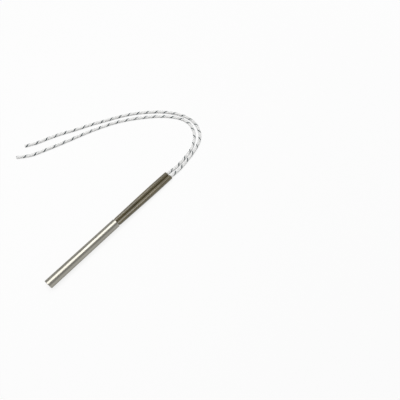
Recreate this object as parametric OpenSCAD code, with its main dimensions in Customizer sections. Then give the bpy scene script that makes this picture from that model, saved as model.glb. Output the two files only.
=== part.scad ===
// Cartridge heater: a closed steel sheath around a wound magnesia core, with two sleeved leads.
// Sizes are in millimetres. The sheath lies along X with its closed tip at the origin, Z is up,
// and the heater rests on its side on a flat surface half a sheath diameter below the axis.

/* [Sheath] */
// Outer diameter of the ground steel sheath, a close fit in a 10 mm bore
sheath_d = 9.95; // [9:0.05:16]
// Wall of the sheath tube
sheath_wall = 0.4; // [0.3:0.05:0.6]
// Length of the sheath from the closed tip to the open mouth
sheath_l = 90; // [70:1:180]
// Chamfer around the closed tip, which leads the heater into its bore
tip_chamfer = 0.3; // [0.1:0.05:0.5]
// Edge break around the open mouth
mouth_chamfer = 0.12; // [0.05:0.01:0.2]

/* [Tip] */
// Thickness of the welded disc that closes the tip
end_disc_t = 2.5; // [1:0.1:5]
// Thickness of each insulating spacer, at both ends of the core
spacer_t = 2; // [1:0.1:4]

/* [Heating element] */
// Thickness of the packed magnesia between coil and sheath
fill_t = 0.5; // [0.3:0.05:0.65]
// Diameter of the resistance wire
wire_d = 0.4; // [0.2:0.05:0.5]
// Full turns of resistance wire on the core
coil_turns = 30; // [10:1:40]
// Magnesia core segments, threaded on the pins end to end
core_count = 5; // [2:1:8]
// Chamfer at both ends of a core segment
core_chamfer = 0.25; // [0.1:0.05:0.4]
// Clearance between neighbouring pieces inside the sheath
fit_gap = 0.05; // [0.03:0.01:0.08]

/* [Lead end] */
// Length of the ceramic seal behind the sleeves
seal_l = 6; // [3:0.5:12]
// Depth to which the sleeves are pushed into the mouth
sleeve_seat = 8; // [4:0.5:15]
// Diameter of the nickel conductor pins
pin_d = 1.4; // [1:0.1:1.6]
// Length of pin that stands out of the mouth, inside the sleeve
pin_stand = 6; // [4:0.5:12]
// Length of the crimp barrel that joins pin and lead
crimp_l = 11; // [8:0.5:16]
// Wall of the crimp barrel
crimp_wall = 0.5; // [0.3:0.05:0.6]
// Bare conductor that shows between the crimp barrel and the lead's jacket
strip_show = 1.5; // [0.5:0.1:4]

/* [Sleeves] */
// Length of sleeve outside the mouth, along the sheath axis
sleeve_l = 83; // [50:1:150]
// Wall of the glass sleeve
sleeve_wall = 0.55; // [0.4:0.05:0.7]
// Clearance between the two sleeves in the mouth, and between each one and the sheath bore
sleeve_gap = 0.1; // [0.08:0.01:0.15]
// How much wider a sleeve is just outside the mouth, where nothing squeezes it
sleeve_bulge = 0.6; // [0.4:0.05:1]
// How much wider again a sleeve is at its free end
sleeve_flare = 0.8; // [0.2:0.1:1.5]
// Sideways drift of both sleeves towards their free ends
pair_drift = 0.7; // [0:0.1:3]

/* [Leads] */
// Diameter of a lead over its braid
lead_d = 3; // [2:0.1:3.2]
// Clearance of a lead over the floor of its sleeve's free end
lead_gap = 0.15; // [0.1:0.01:0.3]

/* [Hidden] */
$fn = 64;
core_names = [for (i = [1:core_count]) str("core_", i)];

// Left is +Y and right is -Y, seen from the tip towards the mouth.
left = 1;
right = -1;

// Diameters, each one from the bore that it has to fit
sheath_bore = sheath_d - 2 * sheath_wall;
inner_d = sheath_bore - 2 * fit_gap;
sleeve_d = (sheath_bore - 3 * sleeve_gap) / 2;
sleeve_bore = sleeve_d - 2 * sleeve_wall;
lead_offset = (sleeve_d + sleeve_gap) / 2;
sleeve_out_d = sleeve_d + sleeve_bulge;
sleeve_end_d = sleeve_out_d + sleeve_flare;
fill_bore = inner_d - 2 * fill_t;
core_d = fill_bore - 2 * (wire_d + 3 * fit_gap);
coil_steps = 16;
coil_r = (core_d / 2 + fit_gap + wire_d / 2) / cos(180 / coil_steps);
pin_bore = pin_d + 2 * fit_gap;
crimp_d = pin_bore + 2 * crimp_wall;

// Stations along the axis, from the tip to the leads
wire_slot = wire_d + 2 * fit_gap;
spacer_x = end_disc_t;
core_x = spacer_x + spacer_t + wire_slot;
seat_x = sheath_l - sleeve_seat;
seal_x = seat_x - seal_l;
lead_end_spacer_x = seal_x - spacer_t;
core_end_x = lead_end_spacer_x - wire_slot;
core_l = (core_end_x - core_x) / core_count;
coil_x = core_x - wire_slot / 2;
coil_end_x = core_end_x + wire_slot / 2;
coil_pitch = (coil_end_x - coil_x) / (coil_turns + 0.5);
pin_end_x = sheath_l + pin_stand;
crimp_x = pin_end_x - crimp_l / 2;
lead_x = crimp_x + crimp_l + strip_show;

// Outside the mouth a sleeve is a slender cone, from the rim down to the surface
floor_z = -sheath_d / 2;
sleeve_x = sheath_l + sleeve_gap;
out_gap = sleeve_gap / 2;
function sleeve_start(side) = [sleeve_x, side * (sleeve_out_d + out_gap) / 2, 0];
function sleeve_end(side) = [sheath_l + sleeve_l,
    pair_drift + side * (sleeve_end_d / 2 + out_gap), floor_z + sleeve_end_d / 2];
function sleeve_point(side, t) = sleeve_start(side) + t * (sleeve_end(side) - sleeve_start(side));

// Points of a lead on the surface, from the end of its sleeve to its cut end
route_left = [[16, -1], [32.5, 0.5], [47.5, 3.5], [61, 10.5], [71, 20], [77, 32.5], [76.5, 46],
    [70, 59.5], [59.5, 73], [46, 85.5], [31.5, 97], [15.5, 107], [-2, 115], [-19, 121.5],
    [-36, 127], [-53, 132.5], [-70, 138.5], [-86.5, 145], [-100, 155.5]];
route_right = [[16, 0], [32.5, 2], [48.5, 5], [63, 10], [74.5, 19], [82, 32.5], [83.5, 47],
    [79, 63], [70, 78.5], [57.5, 92.5], [43, 105.5], [27, 116], [10, 125], [-7, 134],
    [-24.5, 142], [-41.5, 150.5], [-58.5, 157.5], [-71, 162], [-83, 168.5]];
lead_sides = 8;
wire_sides = 6;
settle_l = 22;
function route(side) = side == left ? route_left : route_right;

// A lead lies on the floor of its sleeve's free end, and settles on the surface past it
lead_drop = sleeve_end_d / 2 - sleeve_wall - lead_d / 2 - lead_gap;
function lead_exit(side) = sleeve_end(side) - [0, 0, lead_drop];
function rest_z(dx) = floor_z + lead_d / 2
    + (sleeve_wall + lead_gap) * pow(max(0, 1 - dx / settle_l), 2);
function route_points(side) =
    let (end = lead_exit(side), xy = route(side))
    concat([end], [for (i = [0:len(xy) - 1])
        [end[0] + xy[i][0], end[1] + xy[i][1], i == 0 ? rest_z(xy[i][0]) : floor_z + lead_d / 2]]);

// Smooth curve through the route points, two rings to a stretch
function through(a, b, c, d, t) = 0.5 * (2 * b + (c - a) * t + (2 * a - 5 * b + 4 * c - d) * t * t
    + (3 * b - a - 3 * c + d) * t * t * t);
function smooth(p, before) = concat([for (i = [0:len(p) - 2]) for (t = [0, 0.5])
    through(i == 0 ? before : p[i - 1], p[i], p[i + 1], p[min(i + 2, len(p) - 1)], t)],
    [p[len(p) - 1]]);
function lead_path(side) =
    let (end = lead_exit(side),
        start = sleeve_point(side, (lead_x - sleeve_x) / (sheath_l + sleeve_l - sleeve_x)),
        before = end + settle_l * unit(start - end))
    concat([start], smooth(route_points(side), before));

// The winding: in from its pin across the end of the core, round the core, and back in again
elbow = 0.8 * wire_d;
pin_side = lead_offset + pin_bore / 2;
function coil_tail(x, side) = concat([[x, side * pin_side, -elbow]],
    [for (a = [90, 45]) [x, side * (coil_r - elbow + elbow * cos(a)), -elbow * sin(a)]]);
function coil_path() = concat(coil_tail(coil_x, right),
    [for (k = [0:coil_steps * (coil_turns + 0.5)]) let (a = 360 * k / coil_steps)
        [coil_x + coil_pitch * a / 360, -coil_r * cos(a), coil_r * sin(a)]],
    [for (k = [2:-1:0]) coil_tail(coil_end_x, left)[k]]);

// Rings of an even tube around a path; no stretch of the path runs along the axis "up"
function unit(v) = v / norm(v);
function heading(p, i) = unit(p[min(i + 1, len(p) - 1)] - p[max(i - 1, 0)]);
function ring(p, t, up, r, sides) =
    let (u = unit(cross(up, t)), v = cross(t, u))
    [for (k = [0:sides - 1]) let (a = 360 * (k + 0.5) / sides) p + r * (cos(a) * u + sin(a) * v)];
function rings(p, up, r, sides, start) =
    [for (i = [0:len(p) - 1]) for (q = ring(p[i], i == 0 ? start : heading(p, i), up, r, sides)) q];
function tube_faces(n, m) = concat(
    [[for (k = [0:m - 1]) k]],
    [[for (k = [m - 1:-1:0]) (n - 1) * m + k]],
    [for (i = [0:n - 2]) for (k = [0:m - 1]) [i * m + k, (i + 1) * m + k, (i + 1) * m + (k + 1) % m]],
    [for (i = [0:n - 2]) for (k = [0:m - 1])
        [i * m + k, (i + 1) * m + (k + 1) % m, i * m + (k + 1) % m]]);

// An even tube along a path of points, square to "start" at its first point
module tube(path, up, r, sides, start) {
    polyhedron(points = rings(path, up, r, sides, start), faces = tube_faces(len(path), sides));
}

// A turned piece along X from a profile of [radius, distance] points
module turned(x, profile) {
    translate([x, 0, 0])
        rotate([0, 90, 0])
            rotate_extrude()
                polygon(profile);
}

// A round bar along X
module bar(x, length, d, y = 0) {
    translate([x, y, 0])
        rotate([0, 90, 0])
            cylinder(d = d, h = length);
}

// Two pin bores along X, through a piece
module pin_bores(x, length) {
    for (side = [left, right])
        bar(x - 1, length + 2, pin_bore, side * lead_offset);
}

module sheath() {
    tip = min(tip_chamfer, 0.8 * sheath_wall);
    mouth = min(mouth_chamfer, 0.4 * sheath_wall);
    color("silver")
        turned(0, [
            [sheath_bore / 2, 0],
            [sheath_d / 2 - tip, 0],
            [sheath_d / 2, tip],
            [sheath_d / 2, sheath_l - mouth],
            [sheath_d / 2 - mouth, sheath_l],
            [sheath_bore / 2 + mouth, sheath_l],
            [sheath_bore / 2, sheath_l - mouth]]);
}

module end_disc() {
    color("gainsboro")
        bar(0, end_disc_t, inner_d);
}

module end_spacer() {
    color("ivory")
        bar(spacer_x, spacer_t, inner_d);
}

module lead_end_spacer() {
    color("ivory")
        difference() {
            bar(lead_end_spacer_x, spacer_t, inner_d);
            pin_bores(lead_end_spacer_x, spacer_t);
        }
}

// Ceramic seal, chamfered where it is pushed in, square where the sleeves stand on it
module end_seal() {
    edge = min(0.4, seal_l / 8);
    color("white")
        difference() {
            turned(seal_x, [
                [0, 0],
                [inner_d / 2 - edge, 0],
                [inner_d / 2, edge],
                [inner_d / 2, seal_l],
                [0, seal_l]]);
            pin_bores(seal_x, seal_l);
        }
}

module core(i) {
    color("linen")
        difference() {
            turned(core_x + (i - 1) * core_l, [
                [0, 0],
                [core_d / 2 - core_chamfer, 0],
                [core_d / 2, core_chamfer],
                [core_d / 2, core_l - core_chamfer],
                [core_d / 2 - core_chamfer, core_l],
                [0, core_l]]);
            pin_bores(core_x + (i - 1) * core_l, core_l);
        }
}

module heating_coil() {
    color("darkslategray")
        tube(coil_path(), [1, 0, 0], wire_d / 2, wire_sides, [0, right, 0]);
}

module magnesia_fill() {
    color("whitesmoke")
        turned(spacer_x + spacer_t, [
            [fill_bore / 2, 0],
            [inner_d / 2, 0],
            [inner_d / 2, lead_end_spacer_x - spacer_x - spacer_t],
            [fill_bore / 2, lead_end_spacer_x - spacer_x - spacer_t]]);
}

// The long pin reaches the tip end of the winding, the short one the lead end
module return_pin() {
    color("lightsteelblue")
        bar(core_x - wire_slot, pin_end_x - core_x + wire_slot, pin_d, right * lead_offset);
}

module live_pin() {
    start = core_end_x - core_l / 2;
    color("lightsteelblue")
        bar(start, pin_end_x - start, pin_d, left * lead_offset);
}

// A barrel with one dent over the pin and one over the conductor
module crimp(side) {
    dent_r = crimp_l / 5;
    dent = crimp_wall / 2;
    color("silver")
        difference() {
            bar(crimp_x, crimp_l, crimp_d, side * lead_offset);
            bar(crimp_x - 1, crimp_l + 2, pin_bore, side * lead_offset);
            for (at = [0.27, 0.73])
                translate([crimp_x + at * crimp_l, side * lead_offset, crimp_d / 2 + dent_r - dent])
                    rotate([90, 0, 0])
                        cylinder(r = dent_r, h = 2 * crimp_d, center = true);
        }
}

module conductor(side) {
    color("lightgray")
        bar(pin_end_x, lead_x - pin_end_x, pin_d, side * lead_offset);
}

// A tapered round bar along a sleeve's axis, from so far past the rim to so far past the free end
module sleeve_cone(side, from, past, d1, d2) {
    way = sleeve_end(side) - sleeve_start(side);
    length = norm(way);
    grow = (d2 - d1) / length;
    translate(sleeve_start(side))
        rotate([0, -asin(way[2] / length), atan2(way[1], way[0])])
            translate([from, 0, 0])
                rotate([0, 90, 0])
                    cylinder(d1 = d1 + from * grow, d2 = d2 + past * grow, h = length - from + past);
}

// Squeezed where it is pushed into the mouth, wider past the rim, widest at its free end
module sleeve(side) {
    lap = 0.4;
    color("darkkhaki")
        difference() {
            union() {
                bar(seat_x, sleeve_x - seat_x + lap, sleeve_d, side * lead_offset);
                sleeve_cone(side, 0, 0, sleeve_out_d, sleeve_end_d);
            }
            bar(seat_x - 1, sleeve_x - seat_x + 1 + 2.5 * lap, sleeve_bore, side * lead_offset);
            sleeve_cone(side, 1.5 * lap, 1, sleeve_out_d - 2 * sleeve_wall, sleeve_end_d - 2 * sleeve_wall);
        }
}

// An eight-sided tube with one flat side down, as wide across its flats as the lead
module lead(side) {
    color("white")
        tube(lead_path(side), [0, 0, 1], lead_d / 2 / cos(180 / lead_sides), lead_sides, [1, 0, 0]);
}

sheath();
end_disc();
end_spacer();
lead_end_spacer();
end_seal();
for (i = [1:core_count])
    core(i);
heating_coil();
magnesia_fill();
live_pin();
return_pin();
crimp(left);  // crimp_left
crimp(right);  // crimp_right
conductor(left);  // conductor_left
conductor(right);  // conductor_right
sleeve(left);  // sleeve_left
sleeve(right);  // sleeve_right
lead(left);  // lead_left
lead(right);  // lead_right
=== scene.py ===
# %% [markdown]
# # A cartridge heater in Blender
# A cartridge heater is a steel tube full of packed magnesia with a winding inside. It slides into a
# bored hole in a mould or press platen. Two glass-braided leads come out of its open end, each one
# inside a brown varnished sleeve. The CAD frame holds every solid at its size and place, in metres,
# with the closed tip at the origin and +X along the tube. This script dresses that frame.

# %% Load the CAD frame
import math
import bmesh
import bpy
import numpy as np
from mathutils import Matrix, Vector


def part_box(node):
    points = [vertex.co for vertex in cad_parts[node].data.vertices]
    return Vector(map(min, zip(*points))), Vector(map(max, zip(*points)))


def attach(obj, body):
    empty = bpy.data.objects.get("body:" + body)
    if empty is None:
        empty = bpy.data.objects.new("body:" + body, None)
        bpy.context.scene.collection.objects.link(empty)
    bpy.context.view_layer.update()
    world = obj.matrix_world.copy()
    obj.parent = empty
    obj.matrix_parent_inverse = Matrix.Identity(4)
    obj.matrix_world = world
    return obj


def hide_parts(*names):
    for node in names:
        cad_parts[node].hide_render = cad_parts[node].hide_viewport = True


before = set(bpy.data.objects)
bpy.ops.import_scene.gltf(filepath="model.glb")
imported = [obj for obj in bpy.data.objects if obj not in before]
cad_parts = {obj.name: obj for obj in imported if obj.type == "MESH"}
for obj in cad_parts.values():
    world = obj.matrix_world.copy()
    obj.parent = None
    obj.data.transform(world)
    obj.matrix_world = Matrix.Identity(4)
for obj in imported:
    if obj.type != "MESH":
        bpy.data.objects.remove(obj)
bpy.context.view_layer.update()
sheath_low, sheath_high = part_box("sheath")
FLOOR_Z = sheath_low[2]
SHEATH_L = sheath_high[0] - sheath_low[0]
print("nodes:", len(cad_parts), "sheath length", round(SHEATH_L, 5), "floor at", round(FLOOR_Z, 6))

# %% [markdown]
# ## Camera
# The photograph looks down at about 59 degrees. A camera could be turned by eye until the picture looks
# right, but then its lens and its distance would be guesses. Here lens, height and aim were fitted to
# sizes measured in the photograph, so the camera is placed by numbers.

# %% Camera
MM = 0.001
CAMERA_EYE = Vector((11.2, -186.6, 349.5)) * MM
CAMERA_AIM = Vector((172.6, -48.2, -4.5)) * MM
CAMERA_LENS = 32.825
SENSOR_WIDTH = 36.0
NEAR_CLIP = 10.0 * MM


def add_object(name, data):
    """Puts an object with the given data into the scene."""
    made = bpy.data.objects.new(name, data)
    bpy.context.scene.collection.objects.link(made)
    return made


def look_at(thing, eye, aim):
    """Places a camera or a lamp at one point and turns it towards another."""
    thing.location = eye
    thing.rotation_euler = (aim - eye).to_track_quat("-Z", "Y").to_euler()


camera_data = bpy.data.cameras.new("photo_camera")
camera_data.lens = CAMERA_LENS
camera_data.sensor_width = SENSOR_WIDTH
camera_data.clip_start = NEAR_CLIP
camera = add_object("photo_camera", camera_data)
look_at(camera, CAMERA_EYE, CAMERA_AIM)
bpy.context.scene.camera = camera
print("camera", [round(c, 4) for c in camera.location], "lens", CAMERA_LENS)

# %% [markdown]
# ## Where the sleeves and leads run
# Each sleeve leans from the sheath's mouth down to the table. Each lead lies on the floor of its
# sleeve's end, settles on the table and swings round in one loop. A curve could be drawn by hand in the
# viewport, but it would drift away from the solids. So the sizes and points below are the ones that the
# CAD source uses, and a smooth curve runs through them. The crests of the braid stand a little proud,
# so that its mean diameter is that of the plain tube in the frame.

# %% Lines of the sleeves
SIDES = {"left": 1, "right": -1}
SLEEVE_X, SLEEVE_END_X = 90.1 * MM, 173.0 * MM
SLEEVE_START_Y = {"left": 2.5375 * MM, "right": -2.5375 * MM}
SLEEVE_END_Y = {"left": 3.6625 * MM, "right": -2.2625 * MM}
SLEEVE_END_D = 5.825 * MM


def sleeve_point(name, t):
    """A point on the sleeve's axis outside the mouth, from 0 at the rim to 1 at the free end."""
    start = np.array([SLEEVE_X, SLEEVE_START_Y[name], 0.0])
    end = np.array([SLEEVE_END_X, SLEEVE_END_Y[name], FLOOR_Z + SLEEVE_END_D / 2])
    return start + t * (end - start)


for name in SIDES:
    print("sleeve", name, "ends at", sleeve_point(name, 1.0).round(5).tolist())

# %% Sizes and steps of the leads
LEAD_X = 103.0 * MM
LEAD_D = 3.0 * MM
CREST = 0.25 * MM
LEAD_R = LEAD_D / 2 + CREST
# Steps in millimetres from the point where a lead leaves its sleeve
ROUTE = {
    "left": [(16, -1), (32.5, 0.5), (47.5, 3.5), (61, 10.5), (71, 20), (77, 32.5), (76.5, 46),
             (70, 59.5), (59.5, 73), (46, 85.5), (31.5, 97), (15.5, 107), (-2, 115), (-19, 121.5),
             (-36, 127), (-53, 132.5), (-70, 138.5), (-86.5, 145), (-100, 155.5)],
    "right": [(16, 0), (32.5, 2), (48.5, 5), (63, 10), (74.5, 19), (82, 32.5), (83.5, 47),
              (79, 63), (70, 78.5), (57.5, 92.5), (43, 105.5), (27, 116), (10, 125), (-7, 134),
              (-24.5, 142), (-41.5, 150.5), (-58.5, 157.5), (-71, 162), (-83, 168.5)],
}
for name, steps in ROUTE.items():
    print("lead", name, "has", len(steps), "steps, radius over the crests", round(LEAD_R, 6))

# %% A smooth curve through points
CURVE_STEPS = 8


def catmull_rom(points, before):
    """Points of a smooth curve through the given points, which it reaches from the point before."""
    p = [np.asarray(before)] + [np.asarray(q) for q in points]
    p.append(p[-1])
    out = []
    for i in range(1, len(p) - 2):
        a, b, c, d = p[i - 1], p[i], p[i + 1], p[i + 2]
        for t in np.arange(CURVE_STEPS) / CURVE_STEPS:
            out.append(0.5 * (2 * b + (c - a) * t + (2 * a - 5 * b + 4 * c - d) * t ** 2
                              + (3 * b - a - 3 * c + d) * t ** 3))
    return out + [p[-2]]


print("a curve takes", CURVE_STEPS, "steps from point to point")

# %% Curves of the leads
SLEEVE_WALL = 0.55 * MM
LEAD_GAP = 0.15 * MM
SETTLE_L = 22.0 * MM
TAIL_L = 20.0 * MM
TAIL_POINTS = 6


def unit(vector):
    return vector / np.linalg.norm(vector)


def path_length(points):
    return float(np.linalg.norm(np.diff(points, axis=0), axis=1).sum())


def lead_route(name):
    """A lead's free path from a little inside its sleeve, its exit, and its hidden path to the crimp."""
    start = sleeve_point(name, (LEAD_X - SLEEVE_X) / (SLEEVE_END_X - SLEEVE_X))
    drop = SLEEVE_END_D / 2 - SLEEVE_WALL - LEAD_R - LEAD_GAP
    end = sleeve_point(name, 1.0) - np.array([0.0, 0.0, drop])
    inward = unit(start - end)
    points = [end]
    for i, (dx, dy) in enumerate(ROUTE[name]):
        lift = 0.0
        if i == 0:
            lift = (SLEEVE_WALL + LEAD_GAP) * max(0.0, 1 - dx * MM / SETTLE_L) ** 2
        points.append(np.array([end[0] + dx * MM, end[1] + dy * MM, FLOOR_Z + LEAD_R + lift]))
    joint = end + TAIL_L * inward
    inside = list(np.linspace(joint, end, TAIL_POINTS)[:-1])
    free = np.array(inside + catmull_rom(points, end + SETTLE_L * inward))
    return free, end, np.linspace(start, joint, TAIL_POINTS)


lead_path, lead_exit, hidden_path = {}, {}, {}
for name in SIDES:
    lead_path[name], lead_exit[name], hidden_path[name] = lead_route(name)
    print("lead", name, "length", round(path_length(lead_path[name]), 4),
          "leaves at", lead_exit[name].round(5).tolist())

# %% [markdown]
# ## Node helpers
# Materials and Geometry Nodes are both trees of nodes. They could be drawn in the node editor, but a
# script that builds them can be read and run again. One small helper adds a node, sets its properties,
# and fills each input with a value or with a link from another node's output. The others are short
# forms of it for sums, patterns, colour and bump.

# %% Nodes and sums
def add_node(tree, kind, inputs=None, **properties):
    """A new node with its properties set and its inputs filled or linked."""
    made = tree.nodes.new(kind)
    for key, value in properties.items():
        setattr(made, key, value)
    for key, value in (inputs or {}).items():
        if isinstance(value, bpy.types.NodeSocket):
            tree.links.new(value, made.inputs[key])
        else:
            made.inputs[key].default_value = value
    return made


def result(tree, kind, inputs=None, **properties):
    """The first output of a new node."""
    return add_node(tree, kind, inputs, **properties).outputs[0]


def maths(tree, operation, *values):
    """The result of a Math node on one, two or three values."""
    return result(tree, "ShaderNodeMath", dict(enumerate(values)), operation=operation)


print("helpers for nodes and sums made")

# %% Materials and patterns
def new_material(name, **shader_values):
    """A node material and its Principled shader, with the values that are the same all over."""
    material = bpy.data.materials.new(name)
    material.use_nodes = True
    shader = material.node_tree.nodes["Principled BSDF"]
    for key, value in shader_values.items():
        shader.inputs[key.replace("_", " ")].default_value = value
    return material, material.node_tree, shader


def object_coordinates(tree, scale=(1.0, 1.0, 1.0)):
    """Places in the frame, in metres, each axis times its scale."""
    position = add_node(tree, "ShaderNodeTexCoord").outputs["Object"]
    return result(tree, "ShaderNodeMapping", {"Vector": position, "Scale": scale})


def surface_coordinates(tree, scale):
    """Places on the piece's own UV map, each axis times its scale."""
    position = result(tree, "ShaderNodeUVMap", uv_map="UVMap")
    return result(tree, "ShaderNodeMapping", {"Vector": position, "Scale": scale})


def noise(tree, vector, scale=1.0, detail=3.0, roughness=0.5):
    inputs = {"Vector": vector, "Scale": scale, "Detail": detail, "Roughness": roughness}
    return add_node(tree, "ShaderNodeTexNoise", inputs).outputs["Fac"]


def mixed(tree, *parts):
    """The sum of some patterns, each times its share."""
    total = maths(tree, "MULTIPLY", *parts[0])
    for pattern, share in parts[1:]:
        total = maths(tree, "ADD", total, maths(tree, "MULTIPLY", pattern, share))
    return total


print("helpers for materials and patterns made")

# %% Colour and bump
def paint(tree, shader, pattern, stops):
    """Colours the shader by a ramp with the given (position, colour) stops."""
    made = add_node(tree, "ShaderNodeValToRGB", {"Fac": pattern})
    elements = made.color_ramp.elements
    for element, (position, colour) in zip(elements, (stops[0], stops[-1])):
        element.position = position
        element.color = (*colour, 1.0)
    for position, colour in stops[1:-1]:
        elements.new(position).color = (*colour, 1.0)
    tree.links.new(made.outputs["Color"], shader.inputs["Base Color"])


def bump(tree, shader, height, strength, depth):
    inputs = {"Height": height, "Strength": strength, "Distance": depth}
    tree.links.new(result(tree, "ShaderNodeBump", inputs), shader.inputs["Normal"])


print("helpers for colour and bump made")

# %% [markdown]
# ## Glass yarn
# The leads are braided with white glass yarn and one dark tracer yarn, which tells one kind of lead
# from another. A yarn is a flat bundle of very fine filaments. Hair strands would show each filament,
# but they would weigh far too much here, so the finish is a streak along the yarn. The streak reads
# the braid's UV map, whose U runs along the yarn and V round it. Under the braid lies a mica tape.

# %% Yarn finishes
FILAMENT_SCALE = (500.0, 14.0, 1.0)


def yarn_material(name, dark, pale, roughness):
    material, tree, shader = new_material(name, Roughness=roughness, Sheen_Weight=0.25)
    filaments = noise(tree, surface_coordinates(tree, FILAMENT_SCALE), detail=4.0, roughness=0.6)
    patches = noise(tree, object_coordinates(tree), scale=120.0, detail=2.0)
    paint(tree, shader, mixed(tree, (filaments, 0.7), (patches, 0.3)), [(0.3, dark), (0.7, pale)])
    bump(tree, shader, filaments, strength=0.6, depth=0.06 * MM)
    return material


def tape_material():
    material, tree, shader = new_material("mica_tape", Roughness=0.55)
    grain = noise(tree, object_coordinates(tree), scale=900.0)
    paint(tree, shader, grain, [(0.35, (0.42, 0.40, 0.35)), (0.65, (0.6, 0.57, 0.5))])
    return material


white_yarn = yarn_material("white_glass_yarn", (0.89, 0.89, 0.88), (0.97, 0.97, 0.96), roughness=0.8)
tracer_yarn = yarn_material("tracer_yarn", (0.018, 0.034, 0.038), (0.095, 0.13, 0.135), roughness=0.7)
mica_tape = tape_material()
print("yarn finishes:", white_yarn.name, tracer_yarn.name, mica_tape.name)

# %% [markdown]
# ## The braid
# Half of the yarns wind to the left and half to the right, and each one goes over two and under two.
# The dark tracer is broader and stays on top all the way, so it shows as a spiral, and the yarns that
# meet it pass beneath. A bump texture would show no crests against the light, and modelling each yarn
# by hand would never end. It is a rule along a path, which suits Geometry Nodes: copy the path once for
# each yarn, push every point out to its place on a helix, raise and lower it where it crosses the
# others, then sweep a flat section along it, bent to the round of the braid. The tree's inputs are the
# sizes of the braid.

# %% Geometry Nodes: trees and what they store
def new_tree(name, source, sizes, product):
    """A tree with one geometry in, named sizes and one geometry out, and the sockets of its inputs."""
    tree = bpy.data.node_groups.new(name, "GeometryNodeTree")
    tree.interface.new_socket(name=source, in_out="INPUT", socket_type="NodeSocketGeometry")
    for label, kind in sizes.items():
        tree.interface.new_socket(name=label, in_out="INPUT", socket_type="NodeSocket" + kind)
    tree.interface.new_socket(name=product, in_out="OUTPUT", socket_type="NodeSocketGeometry")
    return tree, tree.nodes.new("NodeGroupInput").outputs


def stored(tree, geometry, label, value, kind, domain="POINT"):
    """Geometry that carries a value under a name."""
    inputs = {"Geometry": geometry, "Name": label, "Value": value}
    return result(tree, "GeometryNodeStoreNamedAttribute", inputs, data_type=kind, domain=domain)


def recalled(tree, label, kind):
    """The value that geometry carries under a name."""
    return result(tree, "GeometryNodeInputNamedAttribute", {"Name": label}, data_type=kind)


print("helpers for trees and stored values made")

# %% Geometry Nodes: where each yarn lies
TURN = 2 * math.pi
FLAT_TOP = 1.4


def yarn_winding(tree, size, yarn, along):
    """A yarn's angle, the turns so far, and its height from -1 to 1 in a plain two-over, two-under."""
    hand = maths(tree, "SUBTRACT", maths(tree, "MULTIPLY", maths(tree, "MODULO", yarn, 2.0), 2.0), 1.0)
    place = maths(tree, "FLOOR", maths(tree, "DIVIDE", yarn, 2.0))
    each_way = maths(tree, "DIVIDE", size["Yarns"], 2.0)
    turns = maths(tree, "DIVIDE", along, size["Lay"])
    wound = maths(tree, "ADD", maths(tree, "MULTIPLY", hand, turns), maths(tree, "DIVIDE", place, each_way))
    met = maths(tree, "ADD", maths(tree, "MULTIPLY", each_way, turns), maths(tree, "MULTIPLY", hand, place))
    crossing = maths(tree, "MULTIPLY", met, math.pi)
    phase = maths(tree, "SUBTRACT", crossing, maths(tree, "MULTIPLY", hand, math.pi / 4))
    over = maths(tree, "MULTIPLY", maths(tree, "COSINE", phase), FLAT_TOP)
    lifted = result(tree, "ShaderNodeClamp", {"Value": over, "Min": -1.0, "Max": 1.0})
    return maths(tree, "MULTIPLY", wound, TURN), turns, maths(tree, "MULTIPLY", lifted, hand)


print("a yarn's wave is cut flat at 1 of", FLAT_TOP)

# %% Geometry Nodes: how far out each yarn lies
UNDER_TRACER = (0.5, 0.9)


def graded(tree, value, span, limits):
    """A value carried over from one span to another, and held at the ends."""
    inputs = {"Value": value, "From Min": span[0], "From Max": span[1],
              "To Min": limits[0], "To Max": limits[1]}
    return result(tree, "ShaderNodeMapRange", inputs)


def yarn_radius(tree, size, angle, turns, woven, is_tracer):
    """A yarn's distance from the middle: the tracer stays up, and the others dip beneath it."""
    tracer_place = maths(tree, "DIVIDE", size["Tracer"], size["Yarns"])
    tracer_angle = maths(tree, "MULTIPLY", maths(tree, "SUBTRACT", tracer_place, turns), TURN)
    aside = maths(tree, "WRAP", maths(tree, "SUBTRACT", angle, tracer_angle), math.pi, -math.pi)
    beneath = graded(tree, maths(tree, "ABSOLUTE", aside), UNDER_TRACER, (1.0, 0.0))
    dip = maths(tree, "MULTIPLY", beneath, maths(tree, "ADD", woven, 1.0))
    top = maths(tree, "SUBTRACT", maths(tree, "MULTIPLY", is_tracer, 2.0), 1.0)
    height = maths(tree, "MAXIMUM", maths(tree, "SUBTRACT", woven, dip), top)
    return maths(tree, "ADD", size["Radius"], maths(tree, "MULTIPLY", height, size["Wave"]))


print("yarns dip beneath the tracer within", UNDER_TRACER, "radians of it")

# %% Geometry Nodes: winding the yarns
def vectors(tree, operation, first, second):
    """The result of a Vector Math node on two vectors, or on a vector and its scale."""
    key = "Scale" if operation == "SCALE" else 1
    return result(tree, "ShaderNodeVectorMath", {0: first, key: second}, operation=operation)


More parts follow.
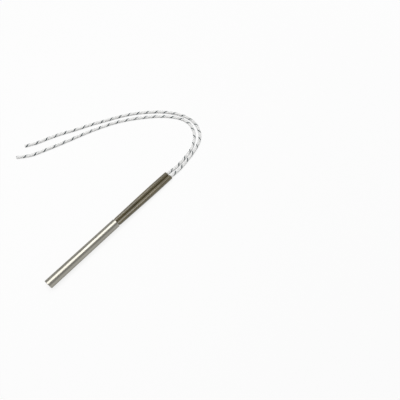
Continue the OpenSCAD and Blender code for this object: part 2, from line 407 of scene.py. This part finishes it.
def wound_yarns(tree, size, yarn, is_tracer):
    """The path copied for each yarn and wound on its helix, with its flat side facing outwards."""
    resampled = result(tree, "GeometryNodeResampleCurve",
                       {"Curve": size["Path"], "Length": size["Step"]}, mode="LENGTH")
    level = result(tree, "GeometryNodeSetCurveNormal", {"Curve": resampled}, mode="Z_UP")
    copies = add_node(tree, "GeometryNodeDuplicateElements",
                      {"Geometry": level, "Amount": size["Yarns"]}, domain="SPLINE").outputs
    numbered = stored(tree, copies[0], "yarn", copies["Duplicate Index"], "INT", "CURVE")
    along = add_node(tree, "GeometryNodeSplineParameter").outputs["Length"]
    angle, turns, woven = yarn_winding(tree, size, yarn, along)
    radius = yarn_radius(tree, size, angle, turns, woven, is_tracer)
    across = result(tree, "GeometryNodeInputNormal")
    upward = vectors(tree, "CROSS_PRODUCT", result(tree, "GeometryNodeInputTangent"), across)
    outward = vectors(tree, "ADD", vectors(tree, "SCALE", across, maths(tree, "COSINE", angle)),
                      vectors(tree, "SCALE", upward, maths(tree, "SINE", angle)))
    aimed = stored(tree, numbered, "outward", outward, "FLOAT_VECTOR")
    measured = stored(tree, aimed, "along", along, "FLOAT")
    wound = result(tree, "GeometryNodeSetPosition",
                   {"Geometry": measured, "Offset": vectors(tree, "SCALE", outward, radius)})
    kept_outward = recalled(tree, "outward", "FLOAT_VECTOR")
    return result(tree, "GeometryNodeSetCurveNormal", {"Curve": wound, "Normal": kept_outward}, mode="FREE")


print("each yarn will carry its number, its length so far and its way outwards")

# %% Geometry Nodes: sections of the yarns and the core
YARN_SIDES = 6
CORE_SIDES = 20
CORE_STEP = 2.0 * MM
CORE_MARK = -1


def bent_section(tree, size, width):
    """A flat section of a yarn, bent to the round of the braid, which knows its way round its edge."""
    ring = result(tree, "GeometryNodeCurvePrimitiveCircle", {"Resolution": YARN_SIDES, "Radius": 0.5})
    turned = result(tree, "GeometryNodeTransform",
                    {"Geometry": ring, "Rotation": (0.0, 0.0, math.pi / YARN_SIDES)})
    factor = add_node(tree, "GeometryNodeSplineParameter").outputs["Factor"]
    edge = stored(tree, turned, "round", factor, "FLOAT")
    measures = result(tree, "ShaderNodeCombineXYZ", {"X": size["Yarn Height"], "Y": width, "Z": 1.0})
    flat = result(tree, "GeometryNodeTransform", {"Geometry": edge, "Scale": measures})
    spot = result(tree, "GeometryNodeInputPosition")
    from_middle = add_node(tree, "ShaderNodeSeparateXYZ", {0: spot}).outputs["Y"]
    sag = maths(tree, "MULTIPLY", maths(tree, "MULTIPLY", from_middle, from_middle),
                maths(tree, "MULTIPLY", size["Bend"], -0.5))
    sagged = result(tree, "ShaderNodeCombineXYZ", {"X": sag})
    return result(tree, "GeometryNodeSetPosition", {"Geometry": flat, "Offset": sagged})


def swept(tree, curve, section):
    inputs = {"Curve": curve, "Profile Curve": section, "Fill Caps": True}
    return result(tree, "GeometryNodeCurveToMesh", inputs)


def taped_core(tree, size):
    """The round core beneath the braid, marked so that it gets the tape's finish."""
    ring = result(tree, "GeometryNodeCurvePrimitiveCircle",
                  {"Resolution": CORE_SIDES, "Radius": size["Core Radius"]})
    path = result(tree, "GeometryNodeResampleCurve",
                  {"Curve": size["Path"], "Length": CORE_STEP}, mode="LENGTH")
    return stored(tree, swept(tree, path, ring), "yarn", CORE_MARK, "INT", "FACE")


print("yarn sections of", YARN_SIDES, "sides, core of", CORE_SIDES)

# %% Geometry Nodes: how each tree ends
def realized(tree, geometry):
    return result(tree, "GeometryNodeRealizeInstances", {"Geometry": geometry})


def coated(tree, geometry, material, **selection):
    """Geometry with a material set on it, or on a selection of it."""
    inputs = {"Geometry": geometry, "Material": material, **selection}
    return result(tree, "GeometryNodeSetMaterial", inputs)


def end_tree(tree, geometry, spares):
    """Takes the helping values off the geometry and leads it out of the tree."""
    for label in spares:
        geometry = result(tree, "GeometryNodeRemoveAttribute", {"Geometry": geometry, "Name": label})
    tree.links.new(geometry, tree.nodes.new("NodeGroupOutput").inputs[0])


print("helpers for real meshes with materials made")

# %% Geometry Nodes: the whole braid
SAME_NUMBER = 0.1
BRAID_INPUTS = {"Yarns": "Int", "Tracer": "Int", "Lay": "Float", "Radius": "Float",
                "Yarn Width": "Float", "Tracer Width": "Float", "Yarn Height": "Float", "Bend": "Float",
                "Wave": "Float", "Step": "Float", "Core Radius": "Float"}


def braid_tree():
    tree, size = new_tree("glass_braid", "Path", BRAID_INPUTS, "Braid")
    yarn = recalled(tree, "yarn", "INT")
    is_tracer = maths(tree, "COMPARE", yarn, size["Tracer"], SAME_NUMBER)
    curves = wound_yarns(tree, size, yarn, is_tracer)
    apart = add_node(tree, "GeometryNodeSeparateGeometry",
                     {"Geometry": curves, "Selection": is_tracer}, domain="CURVE").outputs
    joined = add_node(tree, "GeometryNodeJoinGeometry")
    tree.links.new(taped_core(tree, size), joined.inputs[0])
    for part, width in (("Inverted", "Yarn Width"), ("Selection", "Tracer Width")):
        strips = swept(tree, apart[part], bent_section(tree, size, size[width]))
        tree.links.new(strips, joined.inputs[0])
    streak = result(tree, "ShaderNodeCombineXYZ",
                    {"X": recalled(tree, "along", "FLOAT"), "Y": recalled(tree, "round", "FLOAT")})
    mapped = stored(tree, joined.outputs[0], "UVMap", streak, "FLOAT2", "CORNER")
    painted = coated(tree, realized(tree, mapped), white_yarn)
    for number, material in ((size["Tracer"], tracer_yarn), (CORE_MARK, mica_tape)):
        is_it = result(tree, "FunctionNodeCompare", {0: yarn, 1: number, "Epsilon": SAME_NUMBER},
                       data_type="FLOAT", operation="EQUAL")
        painted = coated(tree, painted, material, Selection=is_it)
    end_tree(tree, painted, ("outward", "along", "round", "yarn"))
    return tree


BRAID = {"Yarns": 16, "Tracer": 2, "Lay": 11.95 * MM, "Step": 0.45 * MM, "Wave": 0.07 * MM,
         "Yarn Width": 1.08 * MM, "Tracer Width": 1.45 * MM, "Yarn Height": 0.26 * MM}
BRAID["Radius"] = LEAD_R - BRAID["Yarn Height"] / 2 - BRAID["Wave"]
BRAID["Core Radius"] = BRAID["Radius"] - BRAID["Wave"]
BRAID["Bend"] = 1 / BRAID["Radius"] / (1 + (TURN * BRAID["Radius"] / BRAID["Lay"]) ** 2)
braid = braid_tree()
print("braid tree:", len(braid.nodes), "nodes, radius", round(BRAID["Radius"], 6))

# %% [markdown]
# ## Lead braids, cut square
# The free ends are cut square with side cutters. The tree ends each yarn at right angles to its own
# helix, which would look ragged, so each braid is made a little too long, cut by a plane, and every cut
# loop is closed. The stretch that the sleeve hides, back to the crimp, is a piece of its own, since a
# free cord starts at its exit.

# %% A plain mesh from a tree
def made_by_tree(name, data, tree, values):
    """A plain mesh object of what a tree makes of some data, its inputs set by their identifiers."""
    maker = add_object(name + "_maker", data)
    modifier = maker.modifiers.new("shape", "NODES")
    modifier.node_group = tree
    for item in tree.interface.items_tree:
        if item.in_out == "INPUT" and item.name in values:
            modifier[item.identifier] = values[item.name]
    graph = bpy.context.evaluated_depsgraph_get()
    mesh = bpy.data.meshes.new_from_object(maker.evaluated_get(graph))
    bpy.data.objects.remove(maker)
    mesh.name = name
    return add_object(name, mesh)


def braid_along(label, points):
    """A piece of braid along the given points."""
    curve = bpy.data.curves.new(label + "_path", "CURVE")
    curve.dimensions = "3D"
    spline = curve.splines.new("POLY")
    spline.points.add(len(points) - 1)
    spline.points.foreach_set("co", np.c_[points, np.ones(len(points))].ravel())
    return made_by_tree(label, curve, braid, BRAID)


print("helpers for plain meshes and lengths of braid made")

# %% Lead braids, cut square
OVERRUN = 1.5 * MM
CUT_RADIUS = 2 * LEAD_D


def cut_square(mesh, place, way):
    """Cuts the mesh off at a plane near one place, and closes every loop of the cut."""
    work = bmesh.new()
    work.from_mesh(mesh)
    near = [v for v in work.verts if (v.co - place).length < CUT_RADIUS]
    known = set(near)
    around = [g for g in (*work.edges, *work.faces) if known.issuperset(g.verts)]
    cut = bmesh.ops.bisect_plane(work, geom=near + around, plane_co=place, plane_no=way,
                                 clear_outer=True)
    rims = [g for g in cut["geom_cut"] if isinstance(g, bmesh.types.BMEdge)]
    caps = bmesh.ops.edgeloop_fill(work, edges=rims)["faces"]
    for cap in caps:
        cap.normal_update()
        if cap.normal.dot(way) < 0:
            cap.normal_flip()
        cap.material_index = next(f.material_index for f in cap.edges[0].link_faces if f is not cap)
    work.to_mesh(mesh)
    work.free()
    return len(caps)


leads = {}
for name, path in lead_path.items():
    way = unit(path[-1] - path[-2])
    leads[name] = braid_along("lead_" + name + "_braid", np.vstack([path, path[-1] + OVERRUN * way]))
    caps = cut_square(leads[name].data, Vector(path[-1]), Vector(way))
    tail = braid_along("lead_" + name + "_in_sleeve", hidden_path[name])
    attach(tail, "root")
    print(leads[name].name, "faces", len(leads[name].data.polygons), "cut faces", caps)

# %% [markdown]
# ## Cut ends of the leads
# A lead is cut square, so its end shows the tape and nineteen nickel strands of the conductor. Nineteen
# cylinders could be added one by one. The strands are one short wire that repeats, though, which suits
# instances: nineteen points carry a direction, and Geometry Nodes sets one small closed cylinder on
# each.

# %% Geometry Nodes: strands on points
STRAND_SIDES = 10


def strand_material():
    material, tree, shader = new_material("nickel_strand", Metallic=1.0, Roughness=0.32)
    grain = noise(tree, object_coordinates(tree), scale=4000.0, detail=2.0)
    paint(tree, shader, grain, [(0.3, (0.42, 0.40, 0.36)), (0.7, (0.68, 0.65, 0.60))])
    return material


def strand_tree(metal):
    sizes = {"Strand Diameter": "Float", "Strand Length": "Float"}
    tree, size = new_tree("cut_strands", "Points", sizes, "Strands")
    radius = maths(tree, "MULTIPLY", size["Strand Diameter"], 0.5)
    rod = result(tree, "GeometryNodeMeshCylinder",
                 {"Vertices": STRAND_SIDES, "Radius": radius, "Depth": size["Strand Length"]})
    way = recalled(tree, "way", "FLOAT_VECTOR")
    turn = result(tree, "FunctionNodeAlignRotationToVector", {"Vector": way}, axis="Z")
    placed = result(tree, "GeometryNodeInstanceOnPoints",
                    {"Points": size["Points"], "Instance": rod, "Rotation": turn})
    end_tree(tree, coated(tree, realized(tree, placed), metal), ("way",))
    return tree


strands_on_points = strand_tree(strand_material())
print("strand tree:", len(strands_on_points.nodes), "nodes")

# %% Strands at the cut ends
STRAND_D = 0.33 * MM
STRAND_OUT = 0.35 * MM
INNER_RING, OUTER_RING = 6, 12
OUTER_REACH = 1.93 * STRAND_D


def strand_places():
    """Centres of nineteen round strands: one in the middle, then rings of six and twelve."""
    places = [(0.0, 0.0)]
    for count, radius, shift in ((INNER_RING, STRAND_D, 0.0), (OUTER_RING, OUTER_REACH, 0.5)):
        for k in range(count):
            a = TURN * (k + shift) / count
            places.append((radius * math.cos(a), radius * math.sin(a)))
    return places


def made_on_points(name, places, label, aims, tree, values):
    """What a tree sets on points, each of which carries a vector under the given name."""
    mesh = bpy.data.meshes.new(name + "_points")
    mesh.from_pydata([tuple(p) for p in places], [], [])
    mesh.attributes.new(label, "FLOAT_VECTOR", "POINT").data.foreach_set("vector", np.array(aims).ravel())
    return made_by_tree(name, mesh, tree, values)


strands = {}
for name, path in lead_path.items():
    way = unit(path[-1] - path[-2])
    side = unit(np.cross((0.0, 0.0, 1.0), way))
    up = np.cross(way, side)
    places = [path[-1] + a * side + b * up for a, b in strand_places()]
    strands[name] = made_on_points("lead_" + name + "_strands", places, "way", [way] * len(places),
                                   strands_on_points,
                                   {"Strand Diameter": STRAND_D, "Strand Length": 2 * STRAND_OUT})
    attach(strands[name], "root")
    print(strands[name].name, "faces", len(strands[name].data.polygons))

# %% [markdown]
# ## The braids in place of the leads' tubes
# A lead is a fixed length of something flexible. Each braid stands for its plain tube in the frame, so
# it is attached to the root and the plain tube is hidden.

for name, path in lead_path.items():
    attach(leads[name], "root")
    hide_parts("lead_" + name)

# %% [markdown]
# ## Sleeves
# A sleeve is a tube braided from fine glass yarn and dipped in a brown varnish that fills most of the
# weave. It is squeezed where it is pushed into the mouth, bulges past the rim and widens a little down
# to the table. Only a low relief is left under the gloss, so a second braid of separate yarns would be
# far too deep. The wall is one closed grid instead: along the outside, over the cut end, back through
# the bore and over the seated end. The outside is raised by the two families of yarns. The grid is
# cheap and has no seams.

# %% Varnish finish
STREAK_SCALE = (25.0, 900.0, 1.0)
VARNISH_SHADES = [(0.28, (0.036, 0.027, 0.010)), (0.5, (0.090, 0.072, 0.031)),
                  (0.72, (0.165, 0.134, 0.062))]


def gloss(tree, shader, pattern, limits):
    """Lets the roughness follow a pattern, from one limit to the other."""
    tree.links.new(graded(tree, pattern, (0.0, 1.0), limits), shader.inputs["Roughness"])


def varnish_material():
    material, tree, shader = new_material("brown_glass_varnish", Coat_Weight=1.0, Coat_Roughness=0.24,
                                          Coat_IOR=1.6, Specular_IOR_Level=0.25)
    streaks = noise(tree, surface_coordinates(tree, STREAK_SCALE), roughness=0.55)
    clouds = noise(tree, object_coordinates(tree), scale=90.0)
    relief = add_node(tree, "ShaderNodeAttribute", attribute_name="relief").outputs["Fac"]
    # Low relief darkens the colour: the weave's hollows and the whole bore get painted shade.
    paint(tree, shader, mixed(tree, (streaks, 0.5), (clouds, 0.3), (relief, 0.2)), VARNISH_SHADES)
    gloss(tree, shader, clouds, (0.28, 0.48))
    bump(tree, shader, streaks, strength=0.25, depth=0.03 * MM)
    return material


varnish = varnish_material()
print("finish:", varnish.name)

# %% Weave of a sleeve
SLEEVE_YARNS = 14
SLEEVE_LAY = 14.0 * MM
RIDGE_POWER = 0.6
LOWER_RIDGE = 0.55


def weave_relief(along, angle):
    """Height from 0 to 1 of a two-over, two-under braid at a distance along and an angle round."""
    first = SLEEVE_YARNS * (angle / TURN + along / SLEEVE_LAY)
    second = SLEEVE_YARNS * (angle / TURN - along / SLEEVE_LAY)
    over = np.sin((np.floor(first) - np.floor(second)) * math.pi / 2 + math.pi / 4) > 0
    ridge_1 = np.sin(math.pi * (first % 1.0)) ** RIDGE_POWER
    ridge_2 = np.sin(math.pi * (second % 1.0)) ** RIDGE_POWER
    upper = np.where(over, ridge_1, ridge_2)
    lower = np.where(over, ridge_2, ridge_1)
    return np.maximum(upper, LOWER_RIDGE * lower)


print("sleeve weave:", SLEEVE_YARNS, "yarns each way, a turn in", SLEEVE_LAY, "m")

# %% Middle line and girth of a sleeve
SEAT_OFFSET = 2.2625 * MM
RIM_X = 90.0 * MM
SLEEVE_D, SLEEVE_OUT_D = 4.425 * MM, 5.025 * MM
BULGE_START, BULGE_L = 0.2 * MM, 2.5 * MM
SWELL, SWELL_POWER = 0.18 * MM, 1.5


def sleeve_line(name, x):
    """Centre and outer radius of a sleeve at each place along X: seated, bulging, then a soft cone."""
    t = np.clip((x - SLEEVE_X) / (SLEEVE_END_X - SLEEVE_X), 0.0, 1.0)[:, None]
    b = np.clip((x - RIM_X - BULGE_START) / BULGE_L, 0.0, 1.0)
    b = (b * b * (3 - 2 * b))[:, None]
    seated = np.array([0.0, SIDES[name] * SEAT_OFFSET, 0.0])
    centre = (1 - b) * seated + b * sleeve_point(name, t)
    centre[:, 0] = x
    radius = (1 - b) * SLEEVE_D / 2 + b * (SLEEVE_OUT_D + t * (SLEEVE_END_D - SLEEVE_OUT_D)) / 2
    swell = SWELL * np.sin(math.pi * t[:, 0] ** SWELL_POWER)
    centre[:, 1] += SIDES[name] * swell
    return centre, radius[:, 0] + swell


for name in SIDES:
    girth = sleeve_line(name, np.array([RIM_X, SLEEVE_END_X]))[1]
    print("sleeve", name, "radius at the rim and at the end", girth.round(6).tolist())

# %% Grid of a sleeve's wall
SEAT_X = 82.0 * MM
AROUND = 112
ALONG_STEP = 0.2 * MM
BORE_STRIDE = 8
RELIEF = 0.05 * MM
CUT_SEED = {"left": 7, "right": 11}
CUT_DEPTH, CUT_REACH = 0.1 * MM, 0.3 * MM


def rough_cut(name):
    """How far back the cut end lies at each angle, from -2 to 0."""
    rng = np.random.default_rng(CUT_SEED[name])
    ragged = np.tile(rng.uniform(-1.0, 1.0, AROUND), 3)
    evened = np.convolve(ragged, np.ones(3) / 3, "same")
    return evened[AROUND:2 * AROUND] - 1.0


def sleeve_grid(name):
    """Points of the wall in rows along X, the rows' X, the columns' angles, and the relief."""
    angle = np.arange(AROUND) * TURN / AROUND
    steps = int(round((SLEEVE_END_X - SEAT_X) / ALONG_STEP))
    out_x = np.linspace(SEAT_X, SLEEVE_END_X, steps + 1)
    x = np.concatenate([out_x, out_x[::-BORE_STRIDE]])
    outside = (np.arange(len(x)) < len(out_x))[:, None]
    # The bore's relief is 0, so the varnish paints the bore at its darkest: painted shade.
    relief = np.where(outside, weave_relief(x[:, None], angle[None, :]), 0.0)
    centre, radius = sleeve_line(name, x)
    radius = radius[:, None] + np.where(outside, RELIEF * (relief - 1.0), -SLEEVE_WALL)
    edge = np.clip((x - SLEEVE_END_X) / CUT_REACH + 1.0, 0.0, 1.0)[:, None]
    points = np.repeat(centre[:, None, :], AROUND, axis=1)
    points[:, :, 0] += edge * CUT_DEPTH * rough_cut(name)
    points[:, :, 1] += radius * np.cos(angle)
    points[:, :, 2] += radius * np.sin(angle)
    return points, x, angle, relief


print("sleeve grid:", AROUND, "columns, a row each", ALONG_STEP, "m")

# %% Sleeve walls
def sleeve_mesh(name):
    """One closed grid: along the outside, over the cut end, back through the bore, over the seat."""
    points, x, angle, relief = sleeve_grid(name)
    rows, columns = relief.shape
    i, j = np.meshgrid(np.arange(rows), np.arange(columns), indexing="ij")
    steps = ((0, 0), (0, 1), (1, 1), (1, 0))
    corners = [((i + a) % rows) * columns + (j + b) % columns for a, b in steps]
    mesh = bpy.data.meshes.new("sleeve_" + name + "_braid")
    mesh.from_pydata(points.reshape(-1, 3).tolist(), [], np.stack(corners, axis=-1).reshape(-1, 4).tolist())
    # The relief is kept on the mesh for the varnish, which paints its low places darker as shade.
    mesh.attributes.new("relief", "FLOAT", "POINT").data.foreach_set("value", relief.ravel())
    corner = np.empty(len(mesh.loops), dtype=np.int32)
    mesh.loops.foreach_get("vertex_index", corner)
    uv = np.stack([np.repeat(x, columns), np.tile(angle * SLEEVE_OUT_D / 2, rows)], axis=-1)[corner]
    mesh.uv_layers.new(name="UVMap").data.foreach_set("uv", uv.astype(np.float32).ravel())
    mesh.polygons.foreach_set("use_smooth", np.ones(len(mesh.polygons), dtype=bool))
    mesh.materials.append(varnish)
    mesh.update()
    return mesh


for name in SIDES:
    piece = add_object("sleeve_" + name + "_braid", sleeve_mesh(name))
    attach(piece, "root")
    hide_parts("sleeve_" + name)
    print(piece.name, "quads", len(piece.data.polygons))

# %% [markdown]
# ## Steel
# The sheath is centreless ground, so very fine marks run round it and its highlight is long and soft.
# A plain metal shader would be too clean. Stretched noise gives the marks: it changes fast along X and
# slowly round the tube. Both rims are rubbed a little brighter, because they meet the bore each time
# the heater goes in. The tip's disc is faced on a lathe, so its marks are fine rings about the axis.

# %% Ground steel of the sheath
SHEATH_MIDDLE = (sheath_low[0] + sheath_high[0]) / 2
EDGE_WEAR, EDGE_SHINE = 0.8 * MM, 0.35
STEEL_EDGE = (0.4, 0.39, 0.36, 1.0)
STEEL_SHADES = [(0.3, (0.255, 0.245, 0.213)), (0.7, (0.39, 0.376, 0.332))]
GRIND_SCALE = (9000.0, 160.0, 160.0)
SMUDGE_SCALE = (30.0, 90.0, 90.0)


def ground_steel():
    material, tree, shader = new_material("ground_stainless", Metallic=1.0, Anisotropic=0.4,
                                          Specular_Tint=STEEL_EDGE)
    marks = noise(tree, object_coordinates(tree, GRIND_SCALE), detail=4.0, roughness=0.6)
    smudges = noise(tree, object_coordinates(tree, SMUDGE_SCALE))
    along = add_node(tree, "ShaderNodeSeparateXYZ", {0: object_coordinates(tree)}).outputs["X"]
    from_middle = maths(tree, "ABSOLUTE", maths(tree, "SUBTRACT", along, SHEATH_MIDDLE))
    rubbed = graded(tree, from_middle, (SHEATH_L / 2 - EDGE_WEAR, SHEATH_L / 2), (0.0, EDGE_SHINE))
    shade = mixed(tree, (marks, 0.55), (smudges, 0.45), (rubbed, smudges))
    paint(tree, shader, shade, STEEL_SHADES)
    gloss(tree, shader, shade, (0.34, 0.2))
    bump(tree, shader, marks, strength=0.12, depth=0.01 * MM)
    return material


steel = ground_steel()
print("finish:", steel.name)

# %% Faced steel of the disc
ACROSS_AXIS = (0.0, 1.0, 1.0)


def distance(tree, vector):
    """A vector's length."""
    return add_node(tree, "ShaderNodeVectorMath", {0: vector}, operation="LENGTH").outputs["Value"]


def faced_steel():
    material, tree, shader = new_material("faced_stainless", Metallic=1.0, Specular_Tint=STEEL_EDGE)
    reach = distance(tree, object_coordinates(tree, ACROSS_AXIS))
    spread = result(tree, "ShaderNodeCombineXYZ", {"X": reach})
    rings = noise(tree, spread, scale=5000.0, roughness=0.6)
    smudges = noise(tree, object_coordinates(tree), scale=260.0)
    shade = mixed(tree, (rings, 0.6), (smudges, 0.4))
    paint(tree, shader, shade, STEEL_SHADES)
    gloss(tree, shader, shade, (0.4, 0.22))
    bump(tree, shader, rings, strength=0.2, depth=0.01 * MM)
    return material


disc_steel = faced_steel()
print("finish:", disc_steel.name)

# %% [markdown]
# ## What is inside
# The inner pieces only show through the mouth or in a section, but each one keeps its own finish:
# chalky magnesia, fired ceramic, drawn nickel and dark oxidised resistance wire. They could be made
# anew, but their solids are right as they come from the frame, so only their material slots change.

# %% Finishes of the inner pieces
def speckled(name, dark, pale, scale, **shader_values):
    """A finish with a fine grain in colour and bump."""
    material, tree, shader = new_material(name, **shader_values)
    grain = noise(tree, object_coordinates(tree), scale, detail=4.0, roughness=0.6)
    paint(tree, shader, grain, [(0.3, dark), (0.7, pale)])
    bump(tree, shader, grain, strength=0.2, depth=0.02 * MM)
    return material


magnesia = speckled("pressed_magnesia", (0.66, 0.65, 0.61), (0.84, 0.83, 0.79), 2500.0, Roughness=0.9)
spacer_ceramic = speckled("fired_spacer", (0.62, 0.59, 0.52), (0.78, 0.76, 0.69), 1500.0, Roughness=0.7)
seal_ceramic = speckled("fired_seal", (0.70, 0.68, 0.62), (0.86, 0.85, 0.80), 1200.0, Roughness=0.45)
nickel = speckled("drawn_nickel", (0.46, 0.44, 0.40), (0.66, 0.64, 0.59), 1800.0,
                  Roughness=0.3, Metallic=1.0)
resistance_wire = speckled("oxidised_wire", (0.05, 0.048, 0.045), (0.13, 0.12, 0.11), 2200.0,
                           Roughness=0.5, Metallic=0.8)
print("finishes:", magnesia.name, spacer_ceramic.name, seal_ceramic.name, nickel.name, resistance_wire.name)

# %% Finishes on the CAD nodes
FINISHES = {"sheath": steel, "end_disc": disc_steel, "end_spacer": spacer_ceramic,
            "lead_end_spacer": spacer_ceramic, "end_seal": seal_ceramic, "heating_coil": resistance_wire,
            "magnesia_fill": magnesia}
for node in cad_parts:
    if node.startswith("core_"):
        FINISHES[node] = magnesia
    if node.endswith("_pin") or node.startswith(("crimp_", "conductor_")):
        FINISHES[node] = nickel
for node, finish in FINISHES.items():
    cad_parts[node].data.materials.clear()
    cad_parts[node].data.materials.append(finish)
print("finished nodes:", len(FINISHES))

# %% [markdown]
# ## Weld at the tip
# The disc that closes the tip is welded all round, a drop of metal at a time, so the seam is a ring of
# low overlapping ripples. A bump texture would be flat in profile. One small ripple repeats, so points
# carry each one's turn and Geometry Nodes sets a copy on every point, with slightly uneven sizes from a
# fixed seed.

# %% Geometry Nodes: weld ripples on points
DROP_SEGMENTS, DROP_RINGS = 12, 8
UNEVEN_MIN, UNEVEN_MAX = (0.85, 0.92, 0.92), (1.1, 1.0, 1.08)


def weld_tree(metal):
    sizes = {"Ripple Height": "Float", "Ripple Width": "Float", "Ripple Length": "Float", "Seed": "Int"}
    tree, size = new_tree("weld_ripples", "Points", sizes, "Weld")
    drop = result(tree, "GeometryNodeMeshUVSphere",
                  {"Segments": DROP_SEGMENTS, "Rings": DROP_RINGS, "Radius": 0.5})
    measures = result(tree, "ShaderNodeCombineXYZ", {
        "X": size["Ripple Height"], "Y": size["Ripple Width"], "Z": size["Ripple Length"]})
    ripple = result(tree, "GeometryNodeTransform", {"Geometry": drop, "Scale": measures})
    uneven = result(tree, "FunctionNodeRandomValue",
                    {"Min": UNEVEN_MIN, "Max": UNEVEN_MAX, "Seed": size["Seed"]}, data_type="FLOAT_VECTOR")
    placed = result(tree, "GeometryNodeInstanceOnPoints", {
        "Points": size["Points"], "Instance": ripple,
        "Rotation": recalled(tree, "turn", "FLOAT_VECTOR"), "Scale": uneven})
    smooth = result(tree, "GeometryNodeSetShadeSmooth", {"Geometry": realized(tree, placed)})
    end_tree(tree, coated(tree, smooth, metal), ("turn",))
    return tree


weld_steel = speckled("weld_steel", (0.19, 0.175, 0.145), (0.36, 0.34, 0.295), 2600.0,
                      Roughness=0.33, Metallic=1.0)
ripples_on_points = weld_tree(weld_steel)
print("weld tree:", len(ripples_on_points.nodes), "nodes")

# %% Weld ring
WELD_R = 4.3 * MM
WELD_RIPPLES = 60
RIPPLE_TILT = math.radians(6.0)
RIPPLE = {"Ripple Height": 0.16 * MM, "Ripple Width": 0.75 * MM, "Ripple Length": 0.85 * MM, "Seed": 5}

places, turns = [], []
for k in range(WELD_RIPPLES):
    a = TURN * k / WELD_RIPPLES
    places.append((sheath_low[0], WELD_R * math.cos(a), WELD_R * math.sin(a)))
    turns.append((Matrix.Rotation(a, 3, "X") @ Matrix.Rotation(RIPPLE_TILT, 3, "Y")).to_euler())
weld = made_on_points("tip_weld", places, "turn", turns, ripples_on_points, RIPPLE)
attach(weld, "root")
print(weld.name, "faces", len(weld.data.polygons))

# %% [markdown]
# ## Floor, light and world
# The heater lies on a white table under one broad soft lamp, overhead and slightly behind, in a world
# that is pale at the sides and dimmer overhead. More light would also whiten the table, but it would
# bleach the object. So part of the table's whiteness is given to camera, glossy and transmission rays
# alone: the ground stays white while the object's soft shadow still shows. The dim part overhead is
# what draws the dark line beside the highlight on the steel.

# %% Floor
FLOOR_HALF = 3.0
WHITE = (1.0, 1.0, 1.0, 1.0)
WHITE_SHARE = 0.82
SHADOW_REACH = (0.25, 0.9)
TABLE_WHITE, TABLE_BOUNCE = 0.97, 0.5


def seen_rays(tree):
    """One for rays that show the surroundings: straight, mirrored or through glass."""
    rays = add_node(tree, "ShaderNodeLightPath").outputs
    mirrored = maths(tree, "MAXIMUM", rays["Is Glossy Ray"], rays["Is Transmission Ray"])
    return maths(tree, "MAXIMUM", rays["Is Camera Ray"], mirrored)


def table_material():
    """White paint that turns to plain white away from the object."""
    material, tree, shader = new_material("white_table", Roughness=0.9)
    seen = seen_rays(tree)
    extra = maths(tree, "MULTIPLY", seen, TABLE_WHITE - TABLE_BOUNCE)
    tree.links.new(maths(tree, "ADD", extra, TABLE_BOUNCE), shader.inputs["Base Color"])
    glow = result(tree, "ShaderNodeEmission", {"Color": WHITE, "Strength": 1.0})
    share = graded(tree, distance(tree, object_coordinates(tree)), SHADOW_REACH, (WHITE_SHARE, 1.0))
    blend = result(tree, "ShaderNodeMixShader",
                   {0: maths(tree, "MULTIPLY", seen, share), 1: shader.outputs[0], 2: glow})
    tree.links.new(blend, tree.nodes["Material Output"].inputs["Surface"])
    return material


corners = [(FLOOR_HALF * x, FLOOR_HALF * y, FLOOR_Z) for x, y in ((-1, -1), (1, -1), (1, 1), (-1, 1))]
floor_mesh = bpy.data.meshes.new("floor")
floor_mesh.from_pydata(corners, [], [(0, 1, 2, 3)])
floor_mesh.materials.append(table_material())
floor = add_object("floor", floor_mesh)
print("floor at", round(FLOOR_Z, 6))

# %% Lamp
LAMP_EYE, LAMP_AIM = Vector((0.12, 0.135, 0.95)), Vector((0.12, 0.06, 0.0))
LAMP_SIZE, LAMP_POWER = 0.86, 7.4

lamp_data = bpy.data.lights.new("top_light", "AREA")
lamp_data.shape = "SQUARE"
lamp_data.size = LAMP_SIZE
lamp_data.energy = LAMP_POWER
look_at(add_object("top_light", lamp_data), LAMP_EYE, LAMP_AIM)
print("lamp of", LAMP_POWER, "W,", LAMP_SIZE, "m wide")

# %% World
WORLD_LIGHT = 0.28
SIDE_TOP = (0.1, 0.5)
OVERHEAD = 0.52

world = bpy.data.worlds.new("studio")
world.use_nodes = True
studio = world.node_tree
background = studio.nodes["Background"]
background.inputs["Color"].default_value = WHITE
outlook = add_node(studio, "ShaderNodeTexCoord").outputs["Generated"]
upward = add_node(studio, "ShaderNodeSeparateXYZ", {0: outlook}).outputs["Z"]
sides = graded(studio, upward, SIDE_TOP, (1.0, OVERHEAD))
straight = add_node(studio, "ShaderNodeLightPath").outputs["Is Camera Ray"]
extra = maths(studio, "SUBTRACT", maths(studio, "MAXIMUM", straight, sides), WORLD_LIGHT)
strength = maths(studio, "ADD", maths(studio, "MULTIPLY", seen_rays(studio), extra), WORLD_LIGHT)
studio.links.new(strength, background.inputs["Strength"])
bpy.context.scene.world = world
bpy.context.scene.view_settings.view_transform = "Standard"
print("world", world.name, "gives a light of", WORLD_LIGHT)
